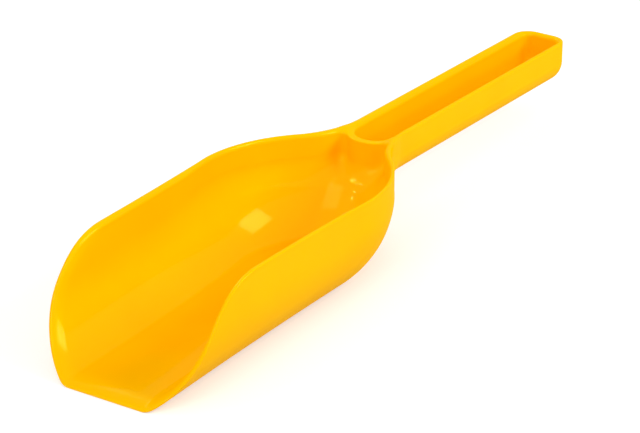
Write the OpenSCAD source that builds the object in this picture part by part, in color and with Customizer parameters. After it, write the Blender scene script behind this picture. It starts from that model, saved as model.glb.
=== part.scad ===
// Child's hand scoop for sand, one plastic moulding in three regions.
// The frame has its origin under the middle of the scoop's length, on the surface it rests on.
// +X runs from the lip to the handle's end, +Y to the right of someone who holds it, and +Z up.

/* [Overall] */
// Length from the lip to the handle's end
scoop_l = 270; // [245:1:300]
// Height of the rim at the shoulders, over the surface that the scoop rests on
scoop_h = 35; // [33:0.5:40]
// Wall thickness everywhere
wall_t = 2.2; // [1.8:0.1:2.8]

/* [Trough] */
// Length of the trough's straight sides, from the lip to the shoulders
trough_l = 100; // [90:0.5:112]
// Width of the trough at the shoulders, over its outside
trough_w = 63.2; // [59:0.2:72]
// How much narrower the trough is at the lip than at the shoulders
mouth_narrowing = 3.6; // [0:0.2:8]
// How far each side draws in halfway between the lip and the shoulder
waist = 0.7; // [0:0.1:2]
// How much higher the line of the rim is over the lip than at the shoulders
rim_rise = 2.2; // [0:0.2:5]
// Radius of the sides' large curve, seen from the mouth
belly_r = 29; // [26:0.5:31]
// Angle that the large curve turns before the bottom corner begins
belly_deg = 55; // [40:1:65]
// Radius of the corner between the side and the flat bottom, at the lip
corner_r = 6.6; // [4:0.2:9]
// How much larger the radius of that corner is at the back
corner_growth = 3.5; // [0:0.5:6]
// Radius of each shoulder, seen from above
shoulder_r = 50; // [44:0.5:54]
// Radius of each side of the neck, seen from above
neck_r = 37; // [30:0.5:55]
// Half width over which the back is rounded in the middle, seen from above
back_ease = 10; // [4:0.5:14]
// Slope of every side wall for the mould, in degrees
draft_deg = 0.25; // [0:0.25:3]

/* [Mouth] */
// Length over which the rim falls away to the lip
mouth_l = 40; // [36:0.5:70]
// How far the mouth's curve runs along the line of the rim before it falls
rim_run = 22.5; // [10:0.5:30]
// How far back from the lip the front edge aims as it rises
lip_back = 14; // [6:0.5:20]
// Height that the front edge aims at as it leaves the lip
lip_rise = 17.5; // [12:0.5:30]

/* [Handle] */
// Width of the handle over its outside
handle_w = 19.3; // [17.5:0.1:25]
// Depth of the handle under the rim
handle_d = 16; // [14:0.2:21]
// How much lower the handle's rim is at its end than at the shoulders
handle_fall = 7.3; // [0:0.1:9]
// Radius along the handle's bottom edges
handle_edge_r = 8.2; // [4:0.2:8.6]
// Radius of the corners at the handle's end, seen from above
handle_end_r = 6.2; // [3.2:0.2:8]
// Radius of the fillet between the back of the trough and the underside of the handle
under_r = 3; // [1:0.5:6]

/* [Partition] */
// Distance from the trough's back to the front of the hollow in the handle
pocket_gap = 2.1; // [1:0.1:8]
// How far the partition's top lies below the rim
partition_drop = 1.5; // [0.5:0.25:4]
// Thickness of the partition at its front
partition_t = 3; // [2:0.1:3.6]
// Radius of the partition's bulge towards the trough, seen from above
bulge_r = 9.2; // [8:0.2:14]

/* [Hidden] */
plastic = [1, 0.76, 0.02];

// Steps of the bisection that finds a surface along a ray
halvings = 22;
// Rays from the rim down to the middle of the bottom, in one half of a section
rays = 22;
// Sections along the mouth, the straight sides, the shoulders with the back, the neck, the handle and its end
mouth_steps = 22;
side_steps = 3;
back_steps = 22;
neck_steps = 9;
grip_steps = 2;
end_steps = 8;
// Steps across half of the partition, and up it
arc_steps = 10;
rise_steps = 10;
// How near to a surface a point counts as lying on it
touch = 0.01;

draft = tan(draft_deg);
trough_half = trough_w / 2;
handle_half = handle_w / 2;
// Centres of the shoulder and of the neck, seen from above, on the +Y side
shoulder_c = [trough_l, trough_half - shoulder_r];
neck_y = handle_half + neck_r;
neck_x = trough_l + sqrt((shoulder_r + neck_r) ^ 2 - (neck_y - shoulder_c[1]) ^ 2);
neck_c = [neck_x, neck_y];
// The trough's back at the rim, in the middle
back_x = trough_l + sqrt(shoulder_r ^ 2 - (back_ease / 2 - shoulder_c[1]) ^ 2);
// The inside of the handle, and the round front of its hollow
pocket_x = back_x + pocket_gap;
pocket_half = handle_half - wall_t;
pocket_c = pocket_x + pocket_half;
bulge_c = pocket_x - partition_t + bulge_r;
// The joint between the trough's region and the handle's, in the middle of the back wall
joint_x = back_x - wall_t / 2;

// Height of the line of the rim: it falls from the lip to the shoulders, and on to the handle's end
function rim_z(x) =
    x < trough_l ? scoop_h + rim_rise * (trough_l - x) / trough_l
    : scoop_h - handle_fall * (x - trough_l) / (scoop_l - trough_l);

// Distance outside two faces a and b that meet in a corner rounded by r
function rounded(a, b, r) = min(max(a + r, b + r), 0) + norm([max(a + r, 0), max(b + r, 0)]) - r;

// Distance outside two joined solids a and b, with a fillet r between them
function filleted(a, b, r) = r <= 0 ? min(a, b) : max(r, min(a, b)) - norm([max(r - a, 0), max(r - b, 0)]);

// Distance from the middle plane, eased so that the back has no ridge
function eased(y) = abs(y) > back_ease ? abs(y) : (y * y / back_ease + back_ease) / 2;

// Distance outside the trough's rim, seen from above
function trough_plan(x, y) =
    let (u = (trough_l - x) / trough_l)
    x < trough_l ? abs(y) - trough_half + mouth_narrowing / 2 * u + 4 * waist * u * (1 - u)
    : norm([x - shoulder_c[0], eased(y) - shoulder_c[1]]) - shoulder_r;

// Radius of the corner between the side and the bottom, which grows towards the back
function corner_at(x) = corner_r + corner_growth * (min(max(x, 0), back_x) / back_x) ^ 4;

// Distance outside the trough's wall and bottom. The large curve's centre is belly_z over the bottom
// and belly_in inside the rim, and the corner's centre is corner_in inside the rim.
function trough_out(x, y, z) =
    let (s = trough_plan(x, y), c = corner_at(x), belly_z = c + (belly_r - c) * sin(belly_deg),
        belly_in = belly_r + draft * max(scoop_h - belly_z, 0),
        corner_in = belly_in - (belly_r - c) * cos(belly_deg), from_belly = [s + belly_in, z - belly_z])
    z > belly_z ? s + draft * (scoop_h - z)
    : atan2(-from_belly[1], from_belly[0]) < belly_deg ? norm(from_belly) - belly_r
    : s > -corner_in ? norm([s + corner_in, z - c]) - c
    : -z;

// Distance outside the handle with its flared neck, seen from above, for a side that stands in by lean
function handle_plan(x, y, lean) =
    let (a = abs(y) + lean, turn = cross(neck_c - shoulder_c, [x, a] - shoulder_c))
    turn > 0 && x < neck_x ? norm([x, a] - shoulder_c) - shoulder_r
    : x < neck_x ? neck_r - norm([x, a] - neck_c)
    : x < scoop_l - handle_end_r ? a - handle_half
    : rounded(x - scoop_l, a - handle_half, handle_end_r);

// Distance outside the handle, at a depth under the rim
function handle_out(x, y, depth) = rounded(handle_plan(x, y, draft * depth), depth - handle_d, handle_edge_r);

// Fillet at a depth: none beside the handle's straight walls, full at its underside
function fillet_at(depth) = under_r * min(max((depth - handle_d + handle_edge_r) / handle_edge_r, 0), 1);

// Distance outside the whole body, as if it were not hollow
function body_out(x, y, z) =
    let (depth = rim_z(x) - z)
    filleted(trough_out(x, y, z), handle_out(x, y, depth), fillet_at(depth));

// Length of the ray from the rim's middle, at an angle below level, to the surface that lies in by inset
function reach(x, a, inset, near, far, n) =
    let (mid = (near + far) / 2)
    n == 0 ? mid
    : body_out(x, mid * cos(a), rim_z(x) - mid * sin(a)) + inset < touch ? reach(x, a, inset, mid, far, n - 1)
    : reach(x, a, inset, near, mid, n - 1);

// Half width at a height, of the surface that lies in by inset
function half_at(x, z, inset, near, far, n) =
    let (mid = (near + far) / 2)
    n == 0 ? mid
    : body_out(x, mid, z) + inset < touch ? half_at(x, z, inset, mid, far, n - 1)
    : half_at(x, z, inset, near, mid, n - 1);

// One half of a section from a cut height to the middle of the bottom
function half_section(x, cut_z, inset) =
    let (edge = half_at(x, cut_z, inset, 0, trough_w, halvings), first = atan2(rim_z(x) - cut_z, edge))
    [for (j = [0 : rays])
        let (a = first + (90 - first) * j / rays, r = reach(x, a, inset, 0, trough_w, halvings))
        [x - scoop_l / 2, r * cos(a), rim_z(x) - r * sin(a)]];

// Mirror image of a half section, from the middle of the bottom out
function far_half(points) = [for (j = [len(points) - 2 : -1 : 0]) [points[j][0], -points[j][1], points[j][2]]];

// A whole section, from one rim to the other
function section(x, cut_z, inset) = let (near = half_section(x, cut_z, inset)) concat(near, far_half(near));

// Place on the line of the rim, in side view
function rim_at(x) = [x, rim_z(x)];

// The mouth's edge in side view, from the lip at 0 to the line of the rim at 1
function mouth_at(t) =
    let (u = 1 - t)
    3 * u * u * t * [lip_back, lip_rise] + 3 * u * t * t * rim_at(mouth_l - rim_run)
    + t * t * t * rim_at(mouth_l);

// Place along the mouth's edge where it rises through a height
function mouth_place(z, near, far, n) =
    let (mid = (near + far) / 2)
    n == 0 ? mid
    : mouth_at(mid)[1] < z ? mouth_place(z, mid, far, n - 1)
    : mouth_place(z, near, mid, n - 1);

// Steps from one value up to another, without the first
function steps(a, b, n) = [for (i = [1 : n]) a + (b - a) * i / n];

// Stations, each a place along the scoop and the height where the section is cut off
function mouth_stations(first) =
    [for (i = [0 : mouth_steps]) mouth_at(first + (1 - first) * i / mouth_steps)];
function rim_stations(xs) = [for (x = xs) rim_at(x)];
side_xs = steps(mouth_l, trough_l, side_steps);
back_xs = [for (i = [1 : back_steps]) trough_l + (joint_x - trough_l) * sin(90 * i / back_steps)];
neck_xs = steps(joint_x, neck_x, neck_steps);
// Handle stations on the outside, and on the inside, which stops one wall short of the end
function handle_xs(end_x) =
    let (turn_x = end_x - handle_edge_r)
    concat([joint_x], neck_xs, steps(neck_x, turn_x, grip_steps),
        [for (i = [1 : end_steps]) turn_x + (end_x - turn_x) * sin(90 * i / end_steps)]);

// Faces of a skin over a count of closed rings of n points each
function skin_faces(count, n) =
    [for (i = [0 : count - 2], j = [0 : n - 1])
        let (a = i * n + j, b = i * n + (j + 1) % n)
        each [[a, b, b + n], [a, b + n, a + n]]];

// Faces that close a ring as a band between its outside and its inside
function band_faces(start, n, front) =
    [for (j = [0 : n / 2 - 2])
        let (a = start + j, b = start + j + 1, c = start + n - 2 - j, d = start + n - 1 - j)
        each front ? [[a, c, b], [a, d, c]] : [[a, b, c], [a, c, d]]];

// Rings from matching outer and inner stations
function rings(outer, inner) =
    [for (i = [0 : len(outer) - 1])
        let (back = section(inner[i][0], inner[i][1], wall_t))
        each concat(section(outer[i][0], outer[i][1], 0), [for (j = [len(back) - 1 : -1 : 0]) back[j]])];

// Angle from the front at which a round face, seen from above, meets the inside of the wall
function arc_end(c, r, depth, near, far, n) =
    let (mid = (near + far) / 2, x = c - r * cos(mid))
    n == 0 ? mid
    : body_out(x, r * sin(mid), rim_z(x) - depth) + wall_t < touch ? arc_end(c, r, depth, mid, far, n - 1)
    : arc_end(c, r, depth, near, mid, n - 1);

// Points along a round face at a depth under the rim, from the -Y wall to the +Y wall
function arc_points(c, r, depth) =
    let (last = arc_end(c, r, depth, 0, 90, halvings))
    [for (j = [-arc_steps : arc_steps])
        let (a = last * j / arc_steps, x = c - r * cos(a))
        [x - scoop_l / 2, r * sin(a), rim_z(x) - depth]];

module scoop_trough() {
    rim = rim_stations(concat(side_xs, back_xs));
    outer = concat(mouth_stations(0), rim);
    inner = concat(mouth_stations(mouth_place(wall_t, 0, 1, halvings)), rim);
    n = 2 * (2 * rays + 1);
    count = len(outer);
    color(plastic) polyhedron(
        rings(outer, inner),
        concat(skin_faces(count, n), band_faces(0, n, true), band_faces((count - 1) * n, n, false)),
        convexity = 6);
}

module handle_channel() {
    outer = rim_stations(handle_xs(scoop_l));
    inner = rim_stations([for (x = handle_xs(scoop_l))
        joint_x + (x - joint_x) * (scoop_l - wall_t - joint_x) / (scoop_l - joint_x)]);
    n = 2 * (2 * rays + 1);
    last = (len(outer) - 1) * n;
    color(plastic) polyhedron(
        rings(outer, inner),
        concat(skin_faces(len(outer), n), band_faces(0, n, true),
            [[for (j = [0 : n / 2 - 1]) last + j]],
            [[for (j = [n / 2 : n - 1]) last + j]],
            [[last, last + n / 2 - 1, last + n / 2, last + n - 1]]),
        convexity = 6);
}

module partition_wall() {
    low = handle_d - wall_t;
    n = 2 * (2 * arc_steps + 1);
    points = [for (i = [0 : rise_steps])
        let (depth = low - (low - partition_drop) * (1 - cos(90 * i / rise_steps)),
            back = arc_points(pocket_c, pocket_half, depth))
        each concat(arc_points(bulge_c, bulge_r, depth), [for (j = [len(back) - 1 : -1 : 0]) back[j]])];
    color(plastic) polyhedron(
        points,
        concat(skin_faces(rise_steps + 1, n), band_faces(0, n, true), band_faces(rise_steps * n, n, false)),
        convexity = 4);
}

scoop_trough();
handle_channel();
partition_wall();
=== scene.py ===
"""Child's hand scoop for sand: one glossy yellow plastic moulding on a plain pale studio floor."""
import math

import bpy
import numpy as np
from mathutils import Matrix, Vector


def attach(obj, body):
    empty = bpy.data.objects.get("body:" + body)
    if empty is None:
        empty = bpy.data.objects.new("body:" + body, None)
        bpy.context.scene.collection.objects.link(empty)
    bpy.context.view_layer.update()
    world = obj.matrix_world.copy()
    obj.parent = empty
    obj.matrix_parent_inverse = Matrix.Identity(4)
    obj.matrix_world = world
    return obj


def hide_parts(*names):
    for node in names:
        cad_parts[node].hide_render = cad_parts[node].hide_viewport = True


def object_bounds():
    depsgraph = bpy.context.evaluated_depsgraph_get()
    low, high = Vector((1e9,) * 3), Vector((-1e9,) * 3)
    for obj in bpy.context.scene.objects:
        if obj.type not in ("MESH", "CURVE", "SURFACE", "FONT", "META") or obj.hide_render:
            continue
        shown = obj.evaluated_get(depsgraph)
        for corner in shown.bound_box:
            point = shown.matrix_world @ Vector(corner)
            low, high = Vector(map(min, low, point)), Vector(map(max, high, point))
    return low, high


bl_info = {
    "name": "Sand Scoop",
    "version": (1, 0, 0),
    "blender": (4, 5, 0),
    "location": "3D View > Sidebar > Scoop",
    "description": "Moulds a sand scoop with a swept mouth and a hollow handle on a studio floor",
    "category": "Object",
}

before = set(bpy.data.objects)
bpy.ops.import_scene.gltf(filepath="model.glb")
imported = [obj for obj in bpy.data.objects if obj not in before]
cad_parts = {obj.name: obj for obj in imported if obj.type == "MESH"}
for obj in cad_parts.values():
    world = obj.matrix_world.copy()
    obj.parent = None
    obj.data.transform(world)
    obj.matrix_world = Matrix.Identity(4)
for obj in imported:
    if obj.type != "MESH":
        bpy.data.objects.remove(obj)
CAD_BOX = [list(corner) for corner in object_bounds()]
LIP_X = CAD_BOX[0][0]
LENGTH = CAD_BOX[1][0] - LIP_X

# Halvings of a ray's length, and steps that settle a point on a surface
HALVINGS = 26
SETTLING = 8
# Distance that measures a slope, and the least square of a slope that a step is divided by
PROBE = 1e-5
LEAST_SLOPE = 0.25
# Rays in half a section, rings on the handle's end, and points along a curve that is looked up
RAYS = 54
CAP_RINGS = 5
FINE = 2000
# Sections along the mouth, the straight sides, the back, the neck, the handle and its end
MOUTH_STEPS = 64
SIDE_STEPS = 26
BACK_STEPS = 60
NECK_STEPS = 26
GRIP_STEPS = 34
END_STEPS = 14
# Rows of faces up each side of an edge, and over it
FLANK_STEPS = 4
TOP_STEPS = 7
# How strongly the mouth's sections gather at the lip
GATHERING = 1.9
# Distances from an edge at which the faces of the wall start to round over, as shares of its two radii
INNER_MARGIN = 1.1
OUTER_MARGIN = 1.6
# Thickness that the inner edge's rounding leaves where the wall is thin, as a share of the outer radius
EDGE_ROOM = 1.2
# Size of the cells in which the partition is modelled, and the share of its fillet that the mesh covers
CELL = 0.00035
FILLET_SHARE = 0.97

# Patterns in the plastic: repeats per metre along x, y and z, detail and, where the noise is spread, the
# limits that it is spread between
TONE = ((38.0, 38.0, 38.0), 2.0, 0.35, 0.65)
FLOW = ((25.0, 420.0, 420.0), 3.0, 0.3, 0.7)
RUBBING = ((420.0, 420.0, 420.0), 3.0, 0.4, 0.7)
LONG_SCRATCHES = ((60.0, 2600.0, 2600.0), 2.0, 0.66, 0.74)
CROSS_SCRATCHES = ((1500.0, 140.0, 1500.0), 2.0, 0.67, 0.76)
WAVES = ((115.0, 115.0, 115.0), 1.0)
# Share of the pattern of tone in the colour, where the flow lines have the rest
TONE_SHARE = 0.75
# How far the wear reaches back from the lip, and the heights between which it ends under the bottom
LIP_WEAR = 0.018
BOTTOM_WEAR = (0.0025, 0.0005)
# Roughness that a scratch adds
SCRATCH_ROUGHNESS = 0.06
# Roughness between the flow lines and on them, and of the clear coat, as shares of the polished skin's
FLOW_ROUGHNESS = (0.85, 1.2)
COAT_ROUGHNESS = 0.5

# Each lamp's name, its direction from the scoop in degrees, its width and height in metres and its power
LAMPS = (
    ("key_lamp", -66, 33, 0.4, 0.46, 5.4),
    ("back_lamp", 144, 30, 0.06, 0.08, 0.36),
    ("fill_lamp", -166, 38, 0.6, 0.6, 3.5),
    ("rear_lamp", 70, 35, 0.5, 0.5, 2.6),
)
# Width of the picture in pixels and of the camera's sensor in millimetres
PICTURE = 640
SENSOR = 36
# Half of the floor's side, and the nearest distance that the camera sees
FLOOR_HALF = 8.0
NEAREST = 0.05


class ScoopSizes(bpy.types.PropertyGroup):
    """Sizes of the moulding."""

    rim_height: bpy.props.FloatProperty(
        name="Rim height", description="Height of the rim at the shoulders", default=0.035,
        unit="LENGTH")
    rim_rise: bpy.props.FloatProperty(
        name="Rim rise", description="How much higher the rim's line is over the lip", default=0.0022,
        unit="LENGTH")
    handle_fall: bpy.props.FloatProperty(
        name="Handle fall", description="How much lower the handle's rim is at its end", default=0.0073,
        unit="LENGTH")
    wall: bpy.props.FloatProperty(
        name="Wall", description="Thickness of the wall", default=0.0022, unit="LENGTH")
    edge_radius: bpy.props.FloatProperty(
        name="Edge radius", description="Rounding of the rim's outer edge", default=0.0004,
        unit="LENGTH")
    inner_radius: bpy.props.FloatProperty(
        name="Inner radius",
        description="Rounding of the rim's inner edge, where the wall is at its full thickness",
        default=0.0015, unit="LENGTH")
    trough_length: bpy.props.FloatProperty(
        name="Trough length", description="From the lip to the shoulders", default=0.1, unit="LENGTH")
    trough_width: bpy.props.FloatProperty(
        name="Trough width", description="Width at the shoulders, over the outside", default=0.0632,
        unit="LENGTH")
    narrowing: bpy.props.FloatProperty(
        name="Narrowing", description="How much narrower the trough is at the lip", default=0.0036,
        unit="LENGTH")
    waist: bpy.props.FloatProperty(
        name="Waist", description="How far each side draws in halfway along", default=0.0007,
        unit="LENGTH")
    belly_radius: bpy.props.FloatProperty(
        name="Belly radius", description="Radius of the sides' large curve", default=0.029,
        unit="LENGTH")
    belly_turn: bpy.props.FloatProperty(
        name="Belly turn", description="Angle of the large curve above the corner",
        default=math.radians(55), subtype="ANGLE")
    corner_radius: bpy.props.FloatProperty(
        name="Corner radius", description="Radius between the side and the bottom, at the lip",
        default=0.0066, unit="LENGTH")
    corner_growth: bpy.props.FloatProperty(
        name="Corner growth", description="How much larger the corner's radius is at the back",
        default=0.0035, unit="LENGTH")
    shoulder_radius: bpy.props.FloatProperty(
        name="Shoulder radius", description="Radius of each shoulder from above", default=0.05,
        unit="LENGTH")
    neck_radius: bpy.props.FloatProperty(
        name="Neck radius", description="Radius of each side of the neck from above", default=0.037,
        unit="LENGTH")
    back_easing: bpy.props.FloatProperty(
        name="Back easing", description="Half width over which the back is rounded", default=0.01,
        unit="LENGTH")
    draft: bpy.props.FloatProperty(
        name="Draft", description="Slope of the side walls for the mould", default=math.radians(0.25),
        subtype="ANGLE")
    mouth_length: bpy.props.FloatProperty(
        name="Mouth length", description="Length over which the rim falls to the lip", default=0.04,
        unit="LENGTH")
    mouth_run: bpy.props.FloatProperty(
        name="Mouth run", description="How far the mouth's curve runs along the rim's line",
        default=0.0225, unit="LENGTH")
    lip_back: bpy.props.FloatProperty(
        name="Lip back", description="How far back the front edge aims as it rises", default=0.014,
        unit="LENGTH")
    lip_rise: bpy.props.FloatProperty(
        name="Lip rise", description="Height that the front edge aims at", default=0.0175,
        unit="LENGTH")
    bevel_depth: bpy.props.FloatProperty(
        name="Bevel depth", description="How much thinner the wall is at the mouth's edge",
        default=0.0011, unit="LENGTH")
    bevel_length: bpy.props.FloatProperty(
        name="Bevel length", description="Distance over which the wall thins to the mouth's edge",
        default=0.0045, unit="LENGTH")
    handle_width: bpy.props.FloatProperty(
        name="Handle width", description="Width of the handle over its outside", default=0.0193,
        unit="LENGTH")
    handle_depth: bpy.props.FloatProperty(
        name="Handle depth", description="Depth of the handle under the rim", default=0.016,
        unit="LENGTH")
    handle_edge: bpy.props.FloatProperty(
        name="Handle edge", description="Radius along the handle's bottom edges", default=0.0082,
        unit="LENGTH")
    handle_corner: bpy.props.FloatProperty(
        name="Handle corner", description="Radius of the corners at the handle's end", default=0.0062,
        unit="LENGTH")
    under_radius: bpy.props.FloatProperty(
        name="Under radius", description="Fillet between the back and the handle's underside",
        default=0.003, unit="LENGTH")
    hollow_gap: bpy.props.FloatProperty(
        name="Hollow gap", description="From the trough's back to the hollow in the handle",
        default=0.0021, unit="LENGTH")
    partition: bpy.props.FloatProperty(
        name="Partition", description="Thickness of the partition at its front", default=0.003,
        unit="LENGTH")
    partition_drop: bpy.props.FloatProperty(
        name="Partition drop", description="How far the partition's top lies under the rim",
        default=0.0015, unit="LENGTH")
    bulge_radius: bpy.props.FloatProperty(
        name="Bulge radius", description="Radius of the partition's bulge from above", default=0.0092,
        unit="LENGTH")
    front_blend: bpy.props.FloatProperty(
        name="Front blend",
        description="Fillet where the partition's front meets the trough and the neck", default=0.0042,
        unit="LENGTH")
    rear_blend: bpy.props.FloatProperty(
        name="Rear blend", description="Fillet where the partition's rear meets the hollow's walls",
        default=0.0015, unit="LENGTH")


class ScoopLooks(bpy.types.PropertyGroup):
    """Colours and finish of the plastic."""

    plastic: bpy.props.FloatVectorProperty(
        name="Plastic", description="Colour of the plastic", default=(1.0, 0.53, 0.0), size=3,
        subtype="COLOR")
    deep_plastic: bpy.props.FloatVectorProperty(
        name="Deep plastic", description="Colour of the plastic where more pigment has flowed",
        default=(1.0, 0.505, 0.0), size=3, subtype="COLOR")
    roughness: bpy.props.FloatProperty(
        name="Roughness", description="Roughness of the polished skin", default=0.1, min=0, max=1)
    wear: bpy.props.FloatProperty(
        name="Wear", description="Roughness that use adds at the lip and under the bottom",
        default=0.16, min=0, max=1)
    gloss: bpy.props.FloatProperty(
        name="Gloss", description="Strength of the skin's clear gloss", default=0.055, min=0, max=1)
    pigment_gloss: bpy.props.FloatProperty(
        name="Pigment gloss", description="Strength of the gloss that takes on the plastic's colour",
        default=0.03, min=0, max=1)
    ripple: bpy.props.FloatProperty(
        name="Ripple", description="Height of the skin's faint waves", default=0.00003, unit="LENGTH")
    scratch_depth: bpy.props.FloatProperty(
        name="Scratch depth", description="Depth of the finest scratches", default=0.000003,
        unit="LENGTH")


class ScoopStage(bpy.types.PropertyGroup):
    """Camera, floor and lamps."""

    azimuth: bpy.props.FloatProperty(
        name="Azimuth", description="Turn of the camera, from looking along +Y",
        default=math.radians(-56.804), subtype="ANGLE")
    elevation: bpy.props.FloatProperty(
        name="Elevation", description="Angle of the camera above level", default=math.radians(25.346),
        subtype="ANGLE")
    roll: bpy.props.FloatProperty(
        name="Roll", description="Roll of the camera", default=math.radians(-0.119), subtype="ANGLE")
    distance: bpy.props.FloatProperty(
        name="Distance", description="From the camera to the middle of its view", default=0.97333,
        unit="LENGTH")
    lens: bpy.props.FloatProperty(
        name="Lens", description="Focal length in pixels of the picture", default=2932.0)
    shift_right: bpy.props.FloatProperty(
        name="To the right", description="How far the scoop stands right of the view's middle",
        default=0.00878, unit="LENGTH")
    shift_up: bpy.props.FloatProperty(
        name="Upwards", description="How far the scoop stands above the view's middle", default=0.01139,
        unit="LENGTH")
    aim_height: bpy.props.FloatProperty(
        name="Aim height", description="Height of the point in the scoop that the shifts start from",
        default=0.02, unit="LENGTH")
    floor: bpy.props.FloatVectorProperty(
        name="Floor", description="Colour of the floor", default=(0.7, 0.7, 0.7), size=3,
        subtype="COLOR")
    floor_glow: bpy.props.FloatProperty(
        name="Floor glow", description="Brightness that the floor gains where it is looked at",
        default=0.38)
    sky: bpy.props.FloatProperty(
        name="Sky", description="Strength of the even light from all sides", default=0.53)
    lamp_distance: bpy.props.FloatProperty(
        name="Lamp distance", description="From the scoop to each lamp", default=1.0, unit="LENGTH")
    lamp_strength: bpy.props.FloatProperty(
        name="Lamp strength", description="Share of the lamps' power that is used", default=1.0, min=0)


def rounded(a, b, r):
    """Distance outside two faces a and b that meet in a corner rounded by r."""
    a, b = a + r, b + r
    return np.minimum(np.maximum(a, b), 0) + np.hypot(np.maximum(a, 0), np.maximum(b, 0)) - r


def filleted(a, b, r):
    """Distance outside two joined solids a and b, with a fillet r between them."""
    r = np.maximum(r, PROBE * PROBE)
    return np.maximum(r, np.minimum(a, b)) - np.hypot(np.maximum(r - a, 0), np.maximum(r - b, 0))


def smooth(share):
    """Share from 0 to 1 that starts and ends gently."""
    share = np.clip(share, 0, 1)
    return share * share * (3 - 2 * share)


class Moulding:
    """The scoop's shape as distances. x runs from the lip along the scoop, y across it and z up."""

    def __init__(self, s):
        self.s = s
        self.draft = math.tan(s.draft)
        self.half = s.trough_width / 2
        self.grip = s.handle_width / 2
        self.shoulder_y = self.half - s.shoulder_radius
        self.neck_y = self.grip + s.neck_radius
        reach = s.shoulder_radius + s.neck_radius
        self.neck_x = s.trough_length + math.sqrt(reach ** 2 - (self.neck_y - self.shoulder_y) ** 2)
        side = s.back_easing / 2 - self.shoulder_y
        self.back_x = s.trough_length + math.sqrt(s.shoulder_radius ** 2 - side ** 2)
        self.joint_x = self.back_x - s.wall / 2
        self.hollow_x = self.back_x + s.hollow_gap
        self.hollow_half = self.grip - s.wall
        self.hollow_c = self.hollow_x + self.hollow_half
        self.bulge_c = self.hollow_x - s.partition + s.bulge_radius
        edge = self.mouth_at(np.linspace(0, 1, FINE))
        self.cut_x = np.append(edge[:, 0], s.trough_length)
        self.cut_z = np.append(edge[:, 1], s.rim_height)
        self.cut_slope = np.gradient(self.cut_z, self.cut_x)

    def rim(self, x):
        """Height of the rim's line, which falls from the lip past the shoulders to the handle's end."""
        s = self.s
        ahead = s.rim_height + s.rim_rise * (1 - x / s.trough_length)
        behind = s.rim_height - s.handle_fall * (x - s.trough_length) / (LENGTH - s.trough_length)
        return np.where(x < s.trough_length, ahead, behind)

    def mouth_at(self, t):
        """Places on the mouth's edge in side view, from the lip at 0 to the rim at 1."""
        s = self.s
        t = t[:, None]
        u = 1 - t
        run = s.mouth_length - s.mouth_run
        leaving = np.array([s.lip_back, s.lip_rise])
        arriving = np.array([run, self.rim(run)])
        top = np.array([s.mouth_length, self.rim(s.mouth_length)])
        return 3 * u * u * t * leaving + 3 * u * t * t * arriving + t ** 3 * top

    def plan(self, x, y):
        """Distance outside the trough's rim, seen from above."""
        s = self.s
        a = np.abs(y)
        eased = np.where(a > s.back_easing, a, (y * y / s.back_easing + s.back_easing) / 2)
        u = 1 - x / s.trough_length
        side = a - self.half + s.narrowing / 2 * u + 4 * s.waist * u * (1 - u)
        back = np.hypot(x - s.trough_length, eased - self.shoulder_y) - s.shoulder_radius
        return np.where(x < s.trough_length, side, back)

    def trough(self, x, y, z):
        """Distance outside the trough's wall and bottom."""
        s = self.s
        plan = self.plan(x, y)
        corner_r = s.corner_radius + s.corner_growth * np.clip(x / self.back_x, 0, 1) ** 4
        belly_z = corner_r + (s.belly_radius - corner_r) * math.sin(s.belly_turn)
        belly_in = s.belly_radius + self.draft * np.maximum(s.rim_height - belly_z, 0)
        corner_in = belly_in - (s.belly_radius - corner_r) * math.cos(s.belly_turn)
        wall = plan + self.draft * (s.rim_height - z)
        belly = np.hypot(plan + belly_in, z - belly_z) - s.belly_radius
        corner = np.hypot(plan + corner_in, z - corner_r) - corner_r
        low = np.where(plan > -corner_in, corner, -z)
        low = np.where(np.arctan2(belly_z - z, plan + belly_in) < s.belly_turn, belly, low)
        return np.where(z > belly_z, wall, low)

    def handle(self, x, y, depth):
        """Distance outside the handle with its flared neck, at a depth under the rim."""
        s = self.s
        a = np.abs(y) + self.draft * depth
        along, across = x - s.trough_length, a - self.shoulder_y
        turn = (self.neck_x - s.trough_length) * across - (self.neck_y - self.shoulder_y) * along
        shoulder = np.hypot(along, across) - s.shoulder_radius
        neck = s.neck_radius - np.hypot(x - self.neck_x, a - self.neck_y)
        end = rounded(x - LENGTH, a - self.grip, s.handle_corner)
        straight = np.where(x < LENGTH - s.handle_corner, a - self.grip, end)
        flared = np.where(turn > 0, shoulder, neck)
        return rounded(np.where(x < self.neck_x, flared, straight), depth - s.handle_depth, s.handle_edge)

    def body(self, x, y, z):
        """Distance outside the whole body, as if it were not hollow."""
        s = self.s
        depth = self.rim(x) - z
        share = np.clip((depth - s.handle_depth + s.handle_edge) / s.handle_edge, 0, 1)
        return filleted(self.trough(x, y, z), self.handle(x, y, depth), s.under_radius * share)

    def above(self, x, z):
        """Distance above the rim and ahead of the mouth's edge, in side view."""
        s = self.s
        behind = x > s.trough_length
        cut = np.interp(x, self.cut_x, self.cut_z)
        cut = np.where(x < 0, self.cut_slope[0] * x, np.where(behind, self.rim(x), cut))
        slope = np.interp(x, self.cut_x, self.cut_slope)
        slope = np.where(behind, -s.handle_fall / (LENGTH - s.trough_length), slope)
        return (z - cut) / np.sqrt(1 + slope ** 2)

    def thickness(self, x, z):
        """Thickness of the wall, which thins towards the mouth's edge."""
        s = self.s
        near = np.clip(1 + self.above(x, z) / s.bevel_length, 0, 1) ** 2
        return s.wall - s.bevel_depth * near * smooth(2 * (1 - x / s.mouth_length))

    def face(self, inner, x, y, z):
        """Distance outside the body's surface, or for inner outside its hollow's surface."""
        return self.body(x, y, z) + (self.thickness(x, z) if inner else 0)

    def margin(self, inner):
        """Distance from the rim and the mouth at which a face of the wall starts to round over."""
        return INNER_MARGIN * self.s.inner_radius if inner else OUTER_MARGIN * self.s.edge_radius

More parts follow.
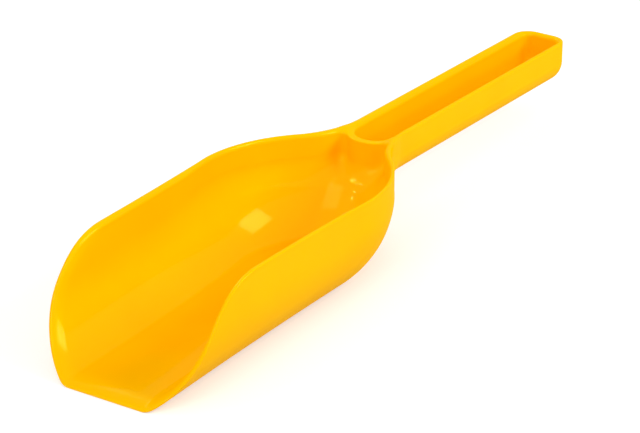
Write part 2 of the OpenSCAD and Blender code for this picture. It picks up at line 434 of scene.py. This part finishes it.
    def shell(self, x, y, z):
        """Distance outside the hollow moulding without its partition."""
        s = self.s
        out, cut, wall = self.body(x, y, z), self.above(x, z), self.thickness(x, z)
        inner_r = np.minimum(s.inner_radius, wall - EDGE_ROOM * s.edge_radius)
        return np.maximum(rounded(out, cut, s.edge_radius), rounded(-out - wall, cut, inner_r))

    def cross_wall(self, x, y, z):
        """Distance outside the partition, which reaches into the walls."""
        s = self.s
        a = np.abs(y)
        ahead = np.where(x < self.bulge_c, np.hypot(x - self.bulge_c, a), a) - s.bulge_radius
        behind = self.hollow_half - np.where(x < self.hollow_c, np.hypot(x - self.hollow_c, a), a)
        slab = rounded(np.maximum(ahead, behind), self.above(x, z) + s.partition_drop, s.edge_radius)
        return np.maximum(slab, self.body(x, y, z) + s.wall / 2)

    def blend(self, x):
        """Radius of the fillet round the partition, larger in front."""
        s = self.s
        share = smooth((self.hollow_c - x) / self.hollow_half)
        return s.rear_blend + (s.front_blend - s.rear_blend) * share

    def whole(self, x, y, z):
        """Distance outside the whole moulding."""
        return filleted(self.shell(x, y, z), self.cross_wall(x, y, z), self.blend(x))


def unit(v):
    """Vectors of length one."""
    return v / np.maximum(np.linalg.norm(v, axis=-1, keepdims=True), PROBE * PROBE)


def gradient(distance, p):
    """Slope of a distance function at points p."""
    steps = np.eye(3) * PROBE
    return np.stack([(distance(*(p + d).T) - distance(*(p - d).T)) / (2 * PROBE) for d in steps], -1)


def settle(distance, p, most):
    """Moves points p onto the surface where the distance is zero, by at most a length in each step."""
    for _ in range(SETTLING):
        slope = gradient(distance, p)
        step = distance(*p.T) / np.maximum((slope * slope).sum(1), LEAST_SLOPE)
        p = p - np.clip(step, -most, most)[:, None] * slope
    return p


def march(m, x, z, dx, dz, inner):
    """Lengths of rays that leave the middle plane, to the outer or the inner face of the wall."""
    near, far = np.zeros(x.shape), np.full(x.shape, m.s.trough_width)
    for _ in range(HALVINGS):
        mid = (near + far) / 2
        inside = m.face(inner, x, mid * dx, z - mid * dz) < PROBE
        near, far = np.where(inside, mid, near), np.where(inside, far, mid)
    return near


def evened(r, angle):
    """Angles of the rays in each section, spread by the length and turn of the line that they reach."""
    side = np.diff(r[..., None] * np.stack([np.cos(angle), np.sin(angle)], -1), axis=1)
    length = np.linalg.norm(side, axis=-1)
    heading = np.unwrap(np.arctan2(side[..., 1], side[..., 0]), axis=1)
    turn = np.pad(np.abs(np.diff(heading, axis=1)), ((0, 0), (1, 1)), mode="edge")
    turn = (turn[:, :-1] + turn[:, 1:]) / 2
    share = length / length.sum(1, keepdims=True) + turn / np.maximum(turn.sum(1, keepdims=True), PROBE)
    reach = np.pad(np.cumsum(share, axis=1), ((0, 0), (1, 0)))
    even = np.linspace(0, 1, angle.shape[1])
    return np.stack([np.interp(even * along[-1], along, a) for along, a in zip(reach, angle)])


def stations(m, inner):
    """Places along the scoop, each with the height at which its section ends, just short of the edge."""
    s = m.s
    ts = np.linspace(0, 1, FINE)
    edge = m.mouth_at(ts)
    along = unit(np.gradient(edge, axis=0))
    edge = edge + m.margin(inner) * np.stack([along[:, 1], -along[:, 0]], -1)
    bottom = m.thickness(edge[:, 0], edge[:, 1]) if inner else 0
    first = np.interp(0, edge[:, 1] - bottom, ts)
    t = first + (1 - first) * np.linspace(0, 1, MOUTH_STEPS + 1) ** GATHERING
    mouth = np.stack([np.interp(t, ts, edge[:, k]) for k in (0, 1)], -1)
    end = LENGTH - (s.wall if inner else 0)
    turn = end - s.handle_edge

    def even(a, b, n):
        """Steps of one length."""
        return a + (b - a) * np.linspace(0, 1, n + 1)[1:]

    def slowing(a, b, n):
        """Steps that shorten towards the end, where the plan turns across."""
        return a + (b - a) * np.sin(np.linspace(0, math.pi / 2, n + 1)[1:])

    xs = np.concatenate([
        even(mouth[-1, 0], s.trough_length, SIDE_STEPS),
        slowing(s.trough_length, m.joint_x, BACK_STEPS),
        even(m.joint_x, m.neck_x, NECK_STEPS),
        even(m.neck_x, turn, GRIP_STEPS),
        slowing(turn, end, END_STEPS)])
    xs[-1] -= PROBE
    return np.concatenate([mouth[:, 0], xs]), np.concatenate([mouth[:, 1], m.rim(xs) - m.margin(inner)])


def skin(m, inner):
    """Rings of points on one face of the wall, each from the rim on the +Y side to the other rim."""
    xs, cuts = stations(m, inner)
    tops = m.rim(xs) - m.margin(inner)
    first = np.arctan2(tops - cuts, march(m, xs, cuts, 1, 0, inner))
    angle = first[:, None] + (math.pi / 2 - first[:, None]) * np.linspace(0, 1, RAYS + 1)
    xs, tops = (np.broadcast_to(v[:, None], angle.shape) for v in (xs, tops))
    r = march(m, xs, tops, np.cos(angle), np.sin(angle), inner)
    angle = evened(r, angle)
    r = march(m, xs, tops, np.cos(angle), np.sin(angle), inner)
    rows = np.append(np.arange(len(xs)), np.full(CAP_RINGS, len(xs) - 1))
    shrink = np.append(np.ones(len(xs)), 1 - np.arange(1, CAP_RINGS + 1) / (CAP_RINGS + 1))
    r, angle, xs, tops = r[rows] * shrink[:, None], angle[rows], xs[rows], tops[rows]
    near = np.stack([xs, r * np.cos(angle), tops - r * np.sin(angle)], -1)
    return np.concatenate([near, near[:, -2::-1] * [1, -1, 1]], 1)


def to_edge(m, p, inner):
    """Moves points near the rim or the mouth to the line where a face of the wall and the cut meet."""

    def off_face(x, y, z):
        return m.face(inner, x, y, z)

    def off_cut(x, y, z):
        return m.above(x, z)

    for _ in range(SETTLING):
        slopes = np.stack([gradient(off_face, p), gradient(off_cut, p)], 1)
        off = np.stack([off_face(*p.T), off_cut(*p.T)], -1)[..., None]
        square = slopes @ slopes.transpose(0, 2, 1) + np.eye(2) * PROBE
        p = p - (np.linalg.solve(square, off).transpose(0, 2, 1) @ slopes)[:, 0]
    return p


def shell_mesh(m):
    """Points of the trough and the handle, and the faces of each: two skins joined by a rounded edge."""
    outer, inner = skin(m, False), skin(m, True)
    rows, n = outer.shape[:2]
    size = rows * n
    last = rows - 1
    joint = MOUTH_STEPS + SIDE_STEPS + BACK_STEPS
    loop_row = np.concatenate([np.zeros(n, int), np.arange(1, rows), np.arange(last, 0, -1)])
    loop = loop_row * n + np.concatenate([np.arange(n), np.full(last, n - 1), np.zeros(last, int)])
    a, b = outer.reshape(-1, 3), inner.reshape(-1, 3)
    low_a, low_b = a[loop], b[loop]
    edge_a, edge_b = to_edge(m, low_a, False), to_edge(m, low_b, True)
    strips = []
    flights = ((low_a, edge_a, FLANK_STEPS), (edge_a, edge_b, TOP_STEPS), (edge_b, low_b, FLANK_STEPS))
    for start, stop, count in flights:
        strips += [start + (stop - start) * k / count for k in range(count)]
    strips = strips[1:]
    own = [2 * size + k * len(loop) + np.arange(len(loop)) for k in range(len(strips))]
    lines = [loop, *own, loop + size]
    trough, handle = [], []
    for i in range(last):
        part = trough if i < joint else handle
        for j in range(n - 1):
            p, q = i * n + j, size + i * n + j
            part += [(p, p + n, p + n + 1, p + 1), (q, q + 1, q + n + 1, q + n)]
    for one, two in zip(lines[:-1], lines[1:]):
        for k in range(len(loop)):
            after = (k + 1) % len(loop)
            part = trough if min(loop_row[k], loop_row[after]) < joint else handle
            part.append((one[k], one[after], two[after], two[k]))
    handle += [tuple(range(size - 1, size - n - 1, -1)), tuple(range(2 * size - n, 2 * size))]
    p, q = joint * n, size + joint * n
    seam = [(p + j + 1, p + j, q + j, q + j + 1) for j in range(n - 1)]
    seam.append(tuple(line[n + 2 * last - joint] for line in lines))
    seam.append(tuple(line[n - 1 + joint] for line in reversed(lines)))
    trough += seam
    handle += [tuple(reversed(f)) for f in seam]
    return settle(m.shell, np.concatenate([a, b] + strips), m.s.edge_radius / 2), trough, handle


def nets(distance, low, high):
    """Points and faces of the closed surface where the distance is zero, inside a box of cells."""
    axes = [np.arange(a, b + CELL, CELL) for a, b in zip(low, high)]
    grid = np.stack(np.meshgrid(*axes, indexing="ij"), -1)
    value = distance(*grid.reshape(-1, 3).T).reshape(grid.shape[:3])
    inside = value < 0
    cells = tuple(n - 1 for n in value.shape)
    total, count = np.zeros(cells + (3,)), np.zeros(cells)

    def corner(a, offset):
        return a[tuple(slice(o, o + n) for o, n in zip(offset, cells))]

    for axis in range(3):
        for u in (0, 1):
            for v in (0, 1):
                one = np.insert([u, v], axis, 0)
                two = np.insert([u, v], axis, 1)
                crossing = corner(inside, one) != corner(inside, two)
                a, b = corner(value, one), corner(value, two)
                share = np.where(crossing, a / np.where(crossing, a - b, 1), 0)[..., None]
                place = corner(grid, one) * (1 - share) + corner(grid, two) * share
                total += np.where(crossing[..., None], place, 0)
                count += crossing
    used = count > 0
    index = np.full(cells, -1)
    index[used] = np.arange(used.sum())
    faces = []
    for axis in range(3):
        u, v = [k for k in range(3) if k != axis]
        low_side = tuple(slice(0, -1) if k == axis else slice(1, -1) for k in range(3))
        high_side = tuple(slice(1, None) if k == axis else slice(1, -1) for k in range(3))
        change = inside[low_side] != inside[high_side]
        for spot, solid_below in zip(np.argwhere(change), inside[low_side][change]):
            quad = []
            for du, dv in ((0, 0), (1, 0), (1, 1), (0, 1)):
                cell = spot.copy()
                cell[u] += du
                cell[v] += dv
                quad.append(index[tuple(cell)])
            faces.append(tuple(reversed(quad)) if solid_below == (axis == 1) else tuple(quad))
    return total[used] / count[used][:, None], faces


def partition_mesh(m):
    """Points and faces of the partition with the fillets that join it to the walls and the floor."""
    s = m.s

    def bounded(x, y, z):
        """Distance outside the partition and its fillets, sunk a little way into the walls."""
        sunk = -m.shell(x, y, z) - s.wall / 4
        reach = m.cross_wall(x, y, z) - FILLET_SHARE * m.blend(x)
        return np.maximum(np.maximum(m.whole(x, y, z), sunk), reach)

    spread = s.front_blend + s.wall
    top = m.rim(m.hollow_x) + s.wall
    low = (m.hollow_x - s.partition - spread, -m.hollow_half - spread, top - s.handle_depth - spread)
    high = (m.hollow_c + spread, m.hollow_half + spread, top)
    points, faces = nets(bounded, low, high)
    return settle(bounded, points, CELL / 4), faces


def add_node(tree, kind, inputs=None, **settings):
    """A shader node with some of its inputs set or linked, and its settings."""
    made = tree.nodes.new(kind)
    for name, value in settings.items():
        setattr(made, name, value)
    for name, value in (inputs or {}).items():
        if isinstance(value, bpy.types.NodeSocket):
            tree.links.new(value, made.inputs[name])
        else:
            made.inputs[name].default_value = value
    return made


def new_material(name):
    """A node material, with its tree and its Principled shader."""
    mat = bpy.data.materials.new(name)
    mat.use_nodes = True
    return mat, mat.node_tree, mat.node_tree.nodes["Principled BSDF"]


def plastic_material(looks):
    """Glossy opaque plastic with the tone drift, flow lines, ripple, scratches and wear of a used toy."""
    mat, tree, shader = new_material("yellow_plastic")
    place = add_node(tree, "ShaderNodeTexCoord").outputs["Object"]

    def noise(pattern):
        """Noise of a pattern as it comes."""
        repeats, detail = pattern[:2]
        mapped = add_node(tree, "ShaderNodeMapping", {"Vector": place, "Scale": repeats})
        inputs = {"Vector": mapped.outputs["Vector"], "Scale": 1.0, "Detail": detail}
        return add_node(tree, "ShaderNodeTexNoise", inputs).outputs["Fac"]

    def ramp(value, low, high, start=0.0, end=1.0):
        """Value from start to end where another goes from low to high."""
        inputs = {"Value": value, "From Min": low, "From Max": high, "To Min": start, "To Max": end}
        node = add_node(tree, "ShaderNodeMapRange", inputs, interpolation_type="SMOOTHSTEP")
        return node.outputs["Result"]

    def spread(pattern):
        """Noise of a pattern, from 0 at its lower limit to 1 at its upper one."""
        return ramp(noise(pattern), *pattern[2:])

    def combine(operation, a, b):
        """Sum, product or larger of two values."""
        return add_node(tree, "ShaderNodeMath", {0: a, 1: b}, operation=operation).outputs["Value"]

    drift = combine("MULTIPLY", spread(TONE), TONE_SHARE)
    flow = noise(FLOW)
    tone = combine("ADD", drift, combine("MULTIPLY", flow, 1 - TONE_SHARE))
    tones = {0: tone, 6: (*looks.plastic, 1), 7: (*looks.deep_plastic, 1)}
    colour = add_node(tree, "ShaderNodeMix", tones, data_type="RGBA")
    tree.links.new(colour.outputs[2], shader.inputs["Base Color"])
    scratches = combine("MAXIMUM", spread(LONG_SCRATCHES), spread(CROSS_SCRATCHES))
    split = add_node(tree, "ShaderNodeSeparateXYZ", {"Vector": place}).outputs
    lip = ramp(split["X"], LIP_X + LIP_WEAR, LIP_X)
    bottom = ramp(split["Z"], *BOTTOM_WEAR)
    used = combine("MULTIPLY", combine("MAXIMUM", lip, bottom), spread(RUBBING))
    worn = combine("MULTIPLY", used, looks.wear)
    scuffed = combine("ADD", worn, combine("MULTIPLY", scratches, SCRATCH_ROUGHNESS))
    skin_range = [looks.roughness * share for share in FLOW_ROUGHNESS]
    rough = combine("ADD", scuffed, ramp(flow, *FLOW[2:], *skin_range))
    tree.links.new(rough, shader.inputs["Roughness"])
    ripple = {"Height": noise(WAVES), "Strength": 1.0, "Distance": looks.ripple}
    waves = add_node(tree, "ShaderNodeBump", ripple)
    grooves = {"Height": scratches, "Strength": 1.0, "Distance": looks.scratch_depth,
               "Normal": waves.outputs["Normal"]}
    cuts = add_node(tree, "ShaderNodeBump", grooves, invert=True)
    tree.links.new(cuts.outputs["Normal"], shader.inputs["Normal"])
    shader.inputs["Specular IOR Level"].default_value = 0.0
    shader.inputs["Coat Weight"].default_value = looks.gloss
    shader.inputs["Coat Roughness"].default_value = looks.roughness * COAT_ROUGHNESS
    shader.inputs["Metallic"].default_value = looks.pigment_gloss
    shader.inputs["Specular Tint"].default_value = (*looks.plastic, 1)
    return mat


def floor_material(stage):
    """Matt pale floor that reads as white where it is looked at and keeps the scoop's shadow."""
    mat, tree, shader = new_material("pale_floor")
    shader.inputs["Base Color"].default_value = (*stage.floor, 1)
    shader.inputs["Roughness"].default_value = 1.0
    shader.inputs["Specular IOR Level"].default_value = 0.0
    shader.inputs["Emission Color"].default_value = (1, 1, 1, 1)
    inputs = {0: looked_at(tree), 1: stage.floor_glow}
    glow = add_node(tree, "ShaderNodeMath", inputs, operation="MULTIPLY")
    tree.links.new(glow.outputs["Value"], shader.inputs["Emission Strength"])
    return mat


def looked_at(tree):
    """Mask that is 1 for what the camera sees, straight, in a reflection or through something clear."""
    path = add_node(tree, "ShaderNodeLightPath").outputs
    seen = path["Is Camera Ray"]
    for name in ("Is Glossy Ray", "Is Transmission Ray"):
        larger = add_node(tree, "ShaderNodeMath", {0: seen, 1: path[name]}, operation="MAXIMUM")
        seen = larger.outputs["Value"]
    return seen


def add_piece(name, points, faces, distance, material, node):
    """A smooth piece in the place of a node, with normals taken from the exact surface."""
    used, index = np.unique(np.concatenate([np.array(f) for f in faces]), return_inverse=True)
    sizes = np.cumsum([len(f) for f in faces])[:-1]
    corners = [tuple(int(i) for i in f) for f in np.split(index, sizes)]
    points = points[used]
    mesh = bpy.data.meshes.new(name)
    mesh.from_pydata((points + [LIP_X, 0, 0]).tolist(), [], corners)
    mesh.materials.append(material)
    mesh.polygons.foreach_set("use_smooth", np.ones(len(mesh.polygons), bool))
    mesh.normals_split_custom_set_from_vertices(unit(gradient(distance, points)).tolist())
    piece = bpy.data.objects.new(name, mesh)
    bpy.context.scene.collection.objects.link(piece)
    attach(piece, "root")
    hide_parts(node)


class SCOOP_OT_shell(bpy.types.Operator):
    """Mould the trough and the hollow handle"""

    bl_idname = "scoop.shell"
    bl_label = "Mould the trough and the handle"

    def execute(self, context):
        m = Moulding(context.scene.scoop_sizes)
        material = plastic_material(context.scene.scoop_looks)
        points, trough, handle = shell_mesh(m)
        add_piece("trough_moulding", points, trough, m.whole, material, "scoop_trough")
        add_piece("handle_moulding", points, handle, m.whole, material, "handle_channel")
        return {"FINISHED"}


class SCOOP_OT_partition(bpy.types.Operator):
    """Mould the partition between the trough and the handle"""

    bl_idname = "scoop.partition"
    bl_label = "Mould the partition"

    def execute(self, context):
        m = Moulding(context.scene.scoop_sizes)
        points, faces = partition_mesh(m)
        material = bpy.data.materials["yellow_plastic"]
        add_piece("partition_moulding", points, faces, m.whole, material, "partition_wall")
        return {"FINISHED"}


def add_camera(scene, stage):
    """The camera at the picture's viewing angle."""
    e, roll = stage.elevation, stage.roll
    level_right = Vector((math.cos(stage.azimuth), math.sin(stage.azimuth), 0))
    level = Vector((-math.sin(stage.azimuth), math.cos(stage.azimuth), 0))
    forward = level * math.cos(e) - Vector((0, 0, math.sin(e)))
    level_up = level * math.sin(e) + Vector((0, 0, math.cos(e)))
    right = level_right * math.cos(roll) + level_up * math.sin(roll)
    up = level_up * math.cos(roll) - level_right * math.sin(roll)
    camera = bpy.data.objects.new("camera", bpy.data.cameras.new("camera"))
    scene.collection.objects.link(camera)
    camera.data.sensor_width = SENSOR
    camera.data.lens = stage.lens * SENSOR / PICTURE
    camera.data.clip_start = NEAREST
    middle = Vector((0, 0, stage.aim_height)) - right * stage.shift_right - up * stage.shift_up
    turn = Matrix((right, up, -forward)).transposed().to_4x4()
    camera.matrix_world = Matrix.Translation(middle - forward * stage.distance) @ turn
    scene.camera = camera


def add_lamp(scene, name, azimuth, elevation, distance, width, height, power):
    """A soft lamp in a direction from the scoop, which it faces."""
    lamp = bpy.data.lights.new(name, "AREA")
    lamp.shape = "RECTANGLE"
    lamp.size, lamp.size_y, lamp.energy = width, height, power
    flat = math.cos(elevation)
    towards = Vector((flat * math.cos(azimuth), flat * math.sin(azimuth), math.sin(elevation)))
    holder = bpy.data.objects.new(name, lamp)
    holder.location = towards * distance
    holder.rotation_mode = "QUATERNION"
    holder.rotation_quaternion = (-towards).to_track_quat("-Z", "Y")
    scene.collection.objects.link(holder)


def add_floor(scene, stage):
    """The floor that the scoop lies on."""
    side = FLOOR_HALF
    corners = [(-side, -side, 0), (side, -side, 0), (side, side, 0), (-side, side, 0)]
    mesh = bpy.data.meshes.new("floor")
    mesh.from_pydata(corners, [], [(0, 1, 2, 3)])
    mesh.materials.append(floor_material(stage))
    floor = bpy.data.objects.new("floor", mesh)
    scene.collection.objects.link(floor)


def add_world(scene, stage):
    """Even light from all sides, which reads as white where it is looked at."""
    world = bpy.data.worlds.new("studio")
    world.use_nodes = True
    scene.world = world
    tree = world.node_tree
    background = tree.nodes["Background"]
    background.inputs["Color"].default_value = (1, 1, 1, 1)
    mix = add_node(tree, "ShaderNodeMix", {0: looked_at(tree), 2: stage.sky, 3: 1.0})
    tree.links.new(mix.outputs[0], background.inputs["Strength"])


class SCOOP_OT_stage(bpy.types.Operator):
    """Set the floor, the lamps and the camera"""

    bl_idname = "scoop.stage"
    bl_label = "Set the stage"

    def execute(self, context):
        scene, stage = context.scene, context.scene.scoop_stage
        add_camera(scene, stage)
        add_floor(scene, stage)
        add_world(scene, stage)
        for name, azimuth, elevation, width, height, power in LAMPS:
            power = power * stage.lamp_strength
            turn, rise = math.radians(azimuth), math.radians(elevation)
            add_lamp(scene, name, turn, rise, stage.lamp_distance, width, height, power)
        scene.view_settings.view_transform = "Standard"
        return {"FINISHED"}


class SCOOP_PT_panel(bpy.types.Panel):
    """Buttons for the scoop's pieces and its stage."""

    bl_idname = "SCOOP_PT_panel"
    bl_label = "Sand scoop"
    bl_space_type = "VIEW_3D"
    bl_region_type = "UI"
    bl_category = "Scoop"

    def draw(self, context):
        for step in STEPS:
            self.layout.operator(step.bl_idname)
        for group in (context.scene.scoop_sizes, context.scene.scoop_looks, context.scene.scoop_stage):
            box = self.layout.box()
            for name in group.__annotations__:
                box.prop(group, name)


STEPS = (SCOOP_OT_shell, SCOOP_OT_partition, SCOOP_OT_stage)
CLASSES = (ScoopSizes, ScoopLooks, ScoopStage, *STEPS, SCOOP_PT_panel)


def register():
    """Adds the classes, and the settings to every scene."""
    for cls in CLASSES:
        bpy.utils.register_class(cls)
    bpy.types.Scene.scoop_sizes = bpy.props.PointerProperty(type=ScoopSizes)
    bpy.types.Scene.scoop_looks = bpy.props.PointerProperty(type=ScoopLooks)
    bpy.types.Scene.scoop_stage = bpy.props.PointerProperty(type=ScoopStage)


def unregister():
    """Takes the settings and the classes out again."""
    del bpy.types.Scene.scoop_stage
    del bpy.types.Scene.scoop_looks
    del bpy.types.Scene.scoop_sizes
    for cls in reversed(CLASSES):
        bpy.utils.unregister_class(cls)


def main():
    """Makes the scoop and its stage."""
    register()
    bpy.ops.scoop.shell()
    bpy.ops.scoop.partition()
    bpy.ops.scoop.stage()


if __name__ == "__main__":
    main()
